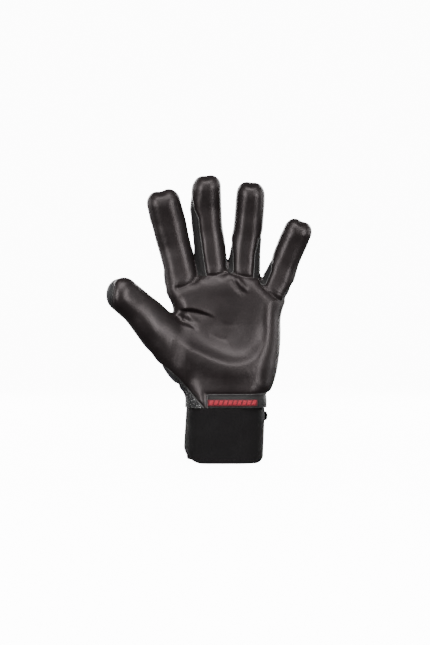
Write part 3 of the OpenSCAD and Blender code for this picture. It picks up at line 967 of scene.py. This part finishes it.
SLOT_WORDS = (("latex", "latex_foam"), ("gusset", "stretch_gusset"), ("pad", "embossed_foam"),
              ("mesh", "air_mesh"), ("band", "binding"), ("back", "padded_fabric"))
for name, ob in piece.items():
    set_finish(ob, next(s for word, s in SLOT_WORDS if word in name))
    if name in STANDS_FOR:
        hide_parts(*STANDS_FOR[name])


# ---------------------------------------------------------------- lining

front_of_hand = np.isin(piece_of, ["palm_latex", "backhand", "back_pad", "side_mesh", "wrist_band"])
lining = closed_panel("palm_lining", skin - calm_normal * LINING_OUTER, tris[front_of_hand],
                      skin - calm_normal * LINING_INNER, skin)
between(lining, "cuff", "hand", *WRIST)
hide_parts("palm_lining")
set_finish(lining, "lining")


# ---------------------------------------------------------------- cuff

STRAP_R, STRAP_FLAT = 27.0, 11.5  # end radius and half the flat of the strap's plan
STRAP_TOP = 58.0
STRAP_LEVELS, STRAP_HALF_WIDTH, STRAP_MIDDLE = [0, 14, STRAP_TOP], [37.3, 37.6, 37.1], [0.8, 0.9, 2.7]
LOOP = 2 * math.pi * STRAP_R + 4 * STRAP_FLAT


def strap_at(s, z, out):
    """Round the strap from the middle of its back, towards the little finger: place and outward direction."""
    s = np.mod(s, LOOP)
    half = s > LOOP / 2
    s = np.where(half, LOOP - s, s)
    theta = np.clip((s - STRAP_FLAT) / STRAP_R, 0, math.pi)
    shift = np.where(s > LOOP / 2 - STRAP_FLAT, LOOP / 2 - s, np.minimum(s, STRAP_FLAT))
    nx, ny = np.sin(theta), np.cos(theta)
    x = shift + (STRAP_R + out) * nx
    y = (STRAP_R + out) * ny
    x, nx = np.where(half, -x, x), np.where(half, -nx, nx)
    width = np.interp(z, STRAP_LEVELS, STRAP_HALF_WIDTH) / (STRAP_R + STRAP_FLAT)
    middle = np.interp(z, STRAP_LEVELS, STRAP_MIDDLE)
    return x * width + middle, y, nx, ny


def strap_low(x):
    """The strap's lower edge, cut off in a round corner on the thumb's side."""
    left = 0.985 * np.clip((-19.0 - x) / 17.9, 0, 1)
    right = 0.97 * np.clip((x - 31.5) / 7.0, 0, 1)
    return 16.3 * (1 - np.sqrt(1 - left ** 2)) + 6.0 * (1 - np.sqrt(1 - right ** 2))


def rows_between(length, step, radius):
    """Places along a length, closer together at both ends where the edge is round."""
    ends = np.array([0, 0.06, 0.25, 0.55, 1.0]) * radius
    n = max(2, int((length - 2 * radius) / step))
    return np.concatenate([ends, radius + (length - 2 * radius) * np.arange(1, n) / n, (length - ends)[::-1]])


def slab(name, around, up, place, thick, closed=False, radius=0.8):
    """A strip of webbing: place(u, v, out) gives points; its edges are rounded and closed."""
    u, v = np.meshgrid(around, up, indexing="ij")
    edge = np.minimum(v - up[0], up[-1] - v)
    if not closed:
        edge = np.minimum(edge, np.minimum(u - around[0], around[-1] - u))
    half = thick / 2 * np.sqrt(1 - (1 - np.clip(edge / radius, 0, 1)) ** 2)
    outer = place(u, v, half).reshape(-1, 3)
    inner = place(u, v, -half).reshape(-1, 3)
    nu, nv = u.shape
    index = np.arange(nu * nv).reshape(nu, nv)
    inner_index = np.where(edge < 1e-9, index, index + nu * nv)
    faces = []
    for i in range(nu if closed else nu - 1):
        k = (i + 1) % nu
        for j in range(nv - 1):
            faces.append((index[i, j], index[k, j], index[k, j + 1], index[i, j + 1]))
            faces.append((inner_index[i, j + 1], inner_index[k, j + 1], inner_index[k, j], inner_index[i, j]))
    points = np.concatenate([outer, inner])
    faces = np.array(faces)
    used, faces = np.unique(faces, return_inverse=True)
    lay = np.stack([np.tile(u.ravel(), 2), np.tile(v.ravel(), 2), np.zeros(2 * u.size)], 1)
    attributes = {"rest": points[used], "lay": lay[used]}
    return new_mesh(f"{name}_cloth", points[used], faces.reshape(-1, 4), None, attributes)


def tuck(z):
    """The strap's upper edge goes in under the hand's lower edge."""
    return -2.6 * smooth(z, 52.0, 54.6)


def strap_wave(s, z):
    return 0.35 * np.sin(s / 9.0 + z / 23.0) * np.sin(z / 17.0) + 0.25 * np.sin(s / 21.0 + 1.0)


def ring_place(low, top, out):
    def place(s, t, half):
        x, _, _, _ = strap_at(s, 20.0, 0)
        bottom = strap_low(x) + low
        z = bottom + (top - bottom) * t / (top - low)
        x, y, nx, ny = strap_at(s, z, out + half + tuck(z) + strap_wave(s, z))
        return np.stack([x, y, z], -1)
    return place


circle = np.arange(0, LOOP, LOOP / 260)
cuff_piece = {
    "wrist_strap": slab("wrist_strap", circle, rows_between(STRAP_TOP, 1.3, 0.9),
                        ring_place(0, STRAP_TOP, -1.0), 2.0, closed=True, radius=0.9),
    "cuff_sleeve": slab("cuff_sleeve", circle, 1.2 + rows_between(STRAP_TOP - 3.2, 2.0, 0.7),
                        lambda s, t, h: ring_place(1.2, STRAP_TOP - 2, -3.1)(s, t - 1.2, h), 1.4, closed=True,
                        radius=0.7),
    "cuff_hem": slab("cuff_hem", circle, rows_between(3.0, 0.8, 0.9), ring_place(0.2, 3.2, -3.2), 2.0,
                     closed=True, radius=0.9)}


def back_place(s0, s1, z0, z1, out, round_corner):
    """A patch on the back of the strap, with rounded corners."""
    def place(s, z, half):
        t = (s - s0) / (s1 - s0)
        from_edge = np.minimum(z - z0, z1 - z).clip(0, round_corner)
        inset = round_corner - np.sqrt(round_corner ** 2 - (round_corner - from_edge) ** 2)
        s = s0 + inset + t * (s1 - s0 - 2 * inset)
        x, y, nx, ny = strap_at(s, z, out + half + strap_wave(s, z))
        return np.stack([x, y, z], -1)
    return place


def back_patch(name, s0, s1, z0, z1, out, thick, corner=5.0):
    return slab(name, s0 + rows_between(s1 - s0, 1.4, 0.7), z0 + rows_between(z1 - z0, 1.4, 0.7),
                back_place(s0, s1, z0, z1, out, corner), thick, radius=0.7)


cuff_piece |= {
    "loop_patch": back_patch("loop_patch", -25, 24, 11, 49, 0.8, 1.4),
    "hook_patch": back_patch("hook_patch", -23, 26, 12, 48, 2.1, 1.2),
    "strap_tab": back_patch("strap_tab", -41, 36, 8, 52, 3.7, 2.0, 6.0),
    "pull_tab": back_patch("pull_tab", 17, 43.5, 38.5, 47.5, 5.4, 1.6, 4.4)}
CUFF_SLOT = {"wrist_strap": "elastic_webbing", "cuff_sleeve": "knit_rib", "cuff_hem": "binding",
             "loop_patch": "loop_pile", "hook_patch": "hook_tape", "strap_tab": "elastic_webbing",
             "pull_tab": "moulded_rubber"}
for name, ob in cuff_piece.items():
    if name == "strap_tab":  # its sewn end lies on the strap; the tab is attached to no body
        between(ob, "cuff", "closing_tab", (-33.5, 19.5, 30), (-26.0, 27.0, 30))
    else:
        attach(ob, "closing_tab" if name in ("hook_patch", "pull_tab") else "cuff")
    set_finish(ob, CUFF_SLOT[name])
    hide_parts(name)


# ---------------------------------------------------------------- woven band with slanted bars

body = BVHTree.FromPolygons([Vector(v) for v in skin], tris.tolist())


def on_front(x, z, out):
    """A place on the front of the glove, out beyond its surface."""
    flat_x, flat_z = np.broadcast_arrays(x, z)
    result = np.zeros(flat_x.shape + (3,))
    for i in np.ndindex(flat_x.shape):
        hit, n, _, _ = body.ray_cast(Vector((flat_x[i], -90, flat_z[i])), Vector((0, 1, 0)))
        n = Vector((0, -1, 0)) if n is None else n
        result[i] = np.array(hit) + np.array(n) * np.broadcast_to(out, flat_x.shape)[i]
    return result


ribbon = slab("accent_band", -14.5 + rows_between(46.5, 1.0, 0.4), 54.2 + rows_between(6.0, 0.8, 0.4),
              lambda x, z, h: on_front(x, z, 0.25 + h), 0.6, radius=0.4)
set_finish(ribbon, "woven_trim")
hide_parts("accent_band")
bars = []
for k in range(10):
    left = -12.6 + 4.4 * k
    bars.append(slab(f"band_bar_{k + 1}", left + rows_between(3.1, 1.0, 0.3),
                     55.5 + rows_between(3.9, 1.0, 0.3),
                     lambda x, z, h: on_front(x + 0.35 * (z - 57), z, 0.62 + h), 0.5, radius=0.3))
for ob in [ribbon] + bars:
    between(ob, "cuff", "hand", *WRIST)
for ob in bars:
    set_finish(ob, "woven_trim")


# ---------------------------------------------------------------- materials

class Nodes:
    """A material under construction, with short ways to make the usual nodes."""

    def __init__(self, name, rough, colour=(0.02, 0.02, 0.02), specular=0.5, place="rest"):
        self.material = bpy.data.materials.new(name)
        self.material.use_nodes = True
        self.tree = self.material.node_tree
        self.shader = self.tree.nodes["Principled BSDF"]
        self.shader.inputs["Base Color"].default_value = (*colour, 1)
        self.shader.inputs["Roughness"].default_value = rough
        self.shader.inputs["Specular IOR Level"].default_value = specular
        at = self.tree.nodes.new("ShaderNodeAttribute")
        at.attribute_name = place
        self.place = at.outputs["Vector"]

    def node(self, kind, inputs=(), **settings):
        n = self.tree.nodes.new("ShaderNode" + kind)
        for key, value in settings.items():
            setattr(n, key, value)
        for key, value in dict(inputs).items():
            self.feed(n.inputs[key], value)
        return n

    def feed(self, socket, value):
        if isinstance(value, bpy.types.NodeSocket):
            self.tree.links.new(value, socket)
        else:
            socket.default_value = value

    def scaled(self, x, y, z, turn=0.0):
        m = self.node("Mapping", {"Vector": self.place, "Scale": (x, y, z), "Rotation": (0, 0, turn)})
        return m.outputs[0]

    def noise(self, scale, detail=3.0, rough=0.5):
        n = self.node("TexNoise", {"Vector": self.place, "Scale": scale, "Detail": detail, "Roughness": rough})
        return n.outputs["Fac"]

    def ramp(self, fac, stops):
        n = self.node("ValToRGB", {"Fac": fac})
        e = n.color_ramp.elements
        while len(e) < len(stops):
            e.new(0.5)
        for k, (at, c) in enumerate(stops):
            e[k].position = at
            e[k].color = (*c, 1) if len(c) == 3 else c
        return n.outputs["Color"]

    def math(self, operation, a, b=0.0, c=0.0):
        return self.node("Math", {0: a, 1: b, 2: c}, operation=operation).outputs[0]

    def map(self, value, a, b, c, d):
        n = self.node("MapRange", {"Value": value, "From Min": a, "From Max": b, "To Min": c, "To Max": d})
        return n.outputs[0]

    def bump(self, height, distance_mm, strength=1.0, normal=None):
        n = self.node("Bump", {"Height": height, "Distance": distance_mm * MM, "Strength": strength})
        if normal is not None:
            self.feed(n.inputs["Normal"], normal)
        return n.outputs[0]

    def done(self, colour=None, rough=None, normal=None):
        for key, value in (("Base Color", colour), ("Roughness", rough), ("Normal", normal)):
            if value is not None:
                self.feed(self.shader.inputs[key], value)
        return self.material


def latex_look():
    m = Nodes("latex_black", 0.42, specular=0.45)
    m.shader.inputs["Specular Tint"].default_value = (1.0, 0.90, 0.91, 1)
    cloud = m.noise(0.035, 4, 0.6)
    pores = m.noise(1.6, 2, 0.6)
    colour = m.ramp(cloud, [(0.3, (0.0070, 0.0050, 0.0051)), (0.7, (0.0112, 0.0083, 0.0085))])
    rough = m.math("ADD", m.map(cloud, 0.3, 0.7, 0.37, 0.47), m.map(pores, 0.3, 0.7, -0.03, 0.04))
    fine = m.bump(pores, 0.05, 0.5)
    wrinkle = m.noise(0.16, 3, 0.55)
    return m.done(colour, rough, m.bump(wrinkle, 0.5, 0.35, fine))


def weave_look(name, dark, light, pitch, height, rough, place="rest", specular=0.3, slant=0.0, sheen=0.0):
    """Fabric from two crossing sets of threads, pitch millimetres apart."""
    m = Nodes(name, rough, specular=specular, place=place)
    split_place = m.node("SeparateXYZ", {0: m.scaled(1, 1, 1, slant)})
    x, y, z = split_place.outputs
    up = y if place == "lay" else z
    warp = m.math("SINE", m.math("MULTIPLY", x, 2 * math.pi / pitch[0]))
    weft = m.math("SINE", m.math("MULTIPLY", up, 2 * math.pi / pitch[1]))
    threads = m.math("MULTIPLY", warp, weft)
    cloud = m.noise(0.08, 3)
    fuzz = m.noise(2.2, 2)
    mixed = m.math("ADD", m.map(threads, -1, 1, 0.0, 0.75), m.math("MULTIPLY", fuzz, 0.35))
    colour = m.ramp(mixed, [(0.15, dark), (0.95, light)])
    r = m.math("ADD", m.map(cloud, 0.3, 0.7, rough - 0.05, rough + 0.05), m.map(fuzz, 0.3, 0.7, -0.04, 0.04))
    m.shader.inputs["Sheen Weight"].default_value = sheen
    return m.done(colour, r, m.bump(mixed, height, 0.7))


def mesh_look():
    """Open spacer mesh: dark holes in a pale-flecked knit."""
    m = Nodes("air_mesh_black", 0.65, specular=0.3)
    cells = m.node("TexVoronoi", {"Vector": m.place, "Scale": 0.62, "Randomness": 0.55}).outputs["Distance"]
    flecks = m.noise(1.1, 2, 0.7)
    lit = m.math("MULTIPLY", m.map(cells, 0.35, 0.62, 0, 1), m.map(flecks, 0.47, 0.60, 0, 1))
    colour = m.ramp(lit, [(0.0, (0.0045, 0.0045, 0.0048)), (0.55, (0.025, 0.025, 0.026)),
                          (1.0, (0.30, 0.30, 0.30))])
    return m.done(colour, m.map(cells, 0, 1, 0.8, 0.55), m.bump(cells, 0.6, 0.8))


def pile_look(name, grain, rough):
    m = Nodes(name, rough, specular=0.25, place="lay")
    tufts = m.node("TexVoronoi", {"Vector": m.place, "Scale": grain, "Randomness": 0.8}).outputs["Distance"]
    fuzz = m.noise(grain * 1.7, 3)
    colour = m.ramp(m.math("ADD", tufts, fuzz), [(0.35, (0.005, 0.005, 0.006)), (1.1, (0.022, 0.022, 0.024))])
    return m.done(colour, m.map(fuzz, 0.3, 0.7, rough - 0.06, rough + 0.06), m.bump(tufts, 0.5, 0.9))


# For each woven material: name, dark and light thread, pitch, bump height, roughness and what differs
WOVEN = {
    "padded_fabric": ("padded_fabric_black", (0.006, 0.006, 0.0065), (0.021, 0.021, 0.022), (1.3, 1.3),
                      0.12, 0.62, {"slant": 0.6, "sheen": 0.15}),
    "embossed_foam": ("embossed_foam_grey", (0.010, 0.010, 0.011), (0.028, 0.028, 0.030), (1.9, 1.9),
                      0.10, 0.5, {}),
    "stretch_gusset": ("gusset_black", (0.0034, 0.0030, 0.0031), (0.0095, 0.0085, 0.0087), (1.1, 0.9),
                       0.15, 0.68, {"sheen": 0.05}),
    "lining": ("lining_grey", (0.02, 0.02, 0.022), (0.05, 0.05, 0.053), (1.0, 1.0), 0.1, 0.8, {}),
    "knit_rib": ("knit_black", (0.004, 0.004, 0.004), (0.014, 0.014, 0.015), (2.2, 1.1),
                 0.3, 0.8, {"place": "lay"}),
    "elastic_webbing": ("elastic_black", (0.0028, 0.0023, 0.0025), (0.0078, 0.0064, 0.0069), (1.9, 0.9),
                        0.22, 0.72, {"place": "lay", "specular": 0.14}),
    "woven_trim": ("trim_red", (0.16, 0.006, 0.012), (0.52, 0.022, 0.045), (0.9, 0.8),
                   0.1, 0.55, {"place": "lay"}),
    "ribbon": ("trim_black", (0.05, 0.004, 0.007), (0.16, 0.012, 0.02), (0.9, 0.8),
               0.1, 0.6, {"place": "lay"}),
    "binding": ("binding_black", (0.0028, 0.0022, 0.0023), (0.0075, 0.0060, 0.0062), (1.2, 0.8),
                0.1, 0.55, {}),
    # The piping's beads are real; their pale grey colour is a painted highlight along the seams.
    "piping": ("piping_grey", (0.018, 0.017, 0.017), (0.055, 0.052, 0.052), (1.4, 0.7),
               0.05, 0.42, {"specular": 0.5})}


def rubber_look():
    m = Nodes("rubber_black", 0.5, specular=0.5, place="lay")
    ribs = m.node("TexWave", {"Vector": m.place, "Scale": 0.32, "Distortion": 0.0}, wave_profile="SIN",
                  bands_direction="X").outputs["Fac"]
    dust = m.noise(0.5, 4)
    colour = m.ramp(dust, [(0.3, (0.010, 0.010, 0.011)), (0.7, (0.018, 0.018, 0.019))])
    return m.done(colour, m.map(dust, 0.3, 0.7, 0.42, 0.58), m.bump(ribs, 0.5, 0.8))


LOOK = {slot: weave_look(*values, **extra) for slot, (*values, extra) in WOVEN.items()}
LOOK |= {"latex_foam": latex_look(), "air_mesh": mesh_look(), "moulded_rubber": rubber_look(),
         "loop_pile": pile_look("loop_black", 1.5, 0.9), "hook_tape": pile_look("hook_black", 1.1, 0.55)}
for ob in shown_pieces():
    if ob.type == "MESH" and "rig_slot" in ob:
        slots = [p.material_index for p in ob.data.polygons] if "piped" in ob else None
        ob.data.materials.clear()
        ob.data.materials.append(LOOK[ob["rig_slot"]])
        if slots:
            ob.data.materials.append(LOOK["piping"])
            ob.data.polygons.foreach_set("material_index", slots)
ribbon.data.materials[0] = LOOK["ribbon"]


# ---------------------------------------------------------------- stage, light and camera

FLOOR_GLOW = 12.0


def backdrop():
    """A pale floor that curves up all round."""
    profile = [(0.0, 0.0), (0.8, 0.0), (1.6, 0.0), (2.2, 0.0)]
    profile += [(2.2 + 1.4 * math.sin(t), 1.4 * (1 - math.cos(t))) for t in np.linspace(0.1, math.pi / 2, 14)]
    profile.append((3.6, 3.2))
    turns = 72
    v = [(r * math.cos(2 * math.pi * k / turns), r * math.sin(2 * math.pi * k / turns), z)
         for r, z in profile[1:] for k in range(turns)] + [(0, 0, 0)]
    faces = ring_faces(len(profile) - 1, turns)
    faces += [(len(v) - 1, k, (k + 1) % turns) for k in range(turns)]
    mesh = bpy.data.meshes.new("floor")
    mesh.from_pydata(v, [], [f[::-1] if len(f) == 4 else f for f in faces])
    mesh.polygons.foreach_set("use_smooth", [True] * len(mesh.polygons))
    ob = new_object("floor", mesh)
    m = bpy.data.materials.new("floor_white")
    m.use_nodes = True
    b = m.node_tree.nodes["Principled BSDF"]
    b.inputs["Base Color"].default_value = (0.82, 0.82, 0.82, 1)
    b.inputs["Roughness"].default_value = 0.9
    b.inputs["Specular IOR Level"].default_value = 0.1
    b.inputs["Emission Color"].default_value = (1, 1, 1, 1)
    b.inputs["Emission Strength"].default_value = FLOOR_GLOW
    mesh.materials.append(m)
    ob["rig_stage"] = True
    return ob


floor = backdrop()
floor.visible_glossy = False
floor.visible_diffuse = False

world = bpy.data.worlds.new("studio")
world.use_nodes = True
world.node_tree.nodes["Background"].inputs["Color"].default_value = (1, 1, 1, 1)
world.node_tree.nodes["Background"].inputs["Strength"].default_value = 0.11
bpy.context.scene.world = world


def softbox(name, at, aim, size, watts):
    light = bpy.data.lights.new(name, "AREA")
    light.shape, light.size, light.size_y, light.energy = "RECTANGLE", size[0], size[1], watts
    ob = new_object(name, light)
    ob.location = at
    ob.rotation_euler = (Vector(aim) - Vector(at)).to_track_quat("-Z", "Y").to_euler()
    ob.visible_camera = False
    return ob


CENTRE = (0.0, 0.0, 0.135)
# Each light: place in metres, size and watts
LIGHTS = {
    "strip_left": ((-0.95, -1.32, 0.22), (0.42, 1.3), 30),
    "strip_right": ((0.95, -1.32, 0.22), (0.42, 1.3), 27),
    "front_top": ((0.0, -1.1, 1.5), (1.3, 1.0), 32),
    "side_left": ((-1.5, 0.15, 0.35), (0.5, 1.2), 9), "side_right": ((1.5, 0.15, 0.35), (0.5, 1.2), 9),
    "back_left": ((-0.9, 1.3, 0.6), (0.5, 1.1), 24), "back_right": ((0.9, 1.3, 0.6), (0.5, 1.1), 24)}
for name, (place, size, watts) in LIGHTS.items():
    softbox(name, place, CENTRE, size, watts)

LENS, SENSOR = 100, 36
camera = new_object("camera", bpy.data.cameras.new("camera"))
camera.data.lens, camera.data.sensor_width, camera.data.sensor_fit = LENS, SENSOR, "AUTO"
VIEW_X, VIEW_Z, FRAME_HEIGHT = -7.6, 132.5, 612.75
camera.location = (VIEW_X * MM, -FRAME_HEIGHT * MM * LENS / SENSOR, VIEW_Z * MM)
camera.rotation_euler = (math.pi / 2, 0, 0)
camera.data.clip_start, camera.data.clip_end = 0.05, 50
bpy.context.scene.camera = camera

size = {"cad": [list(v) for v in cad_box], "visual": [list(v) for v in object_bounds()]}
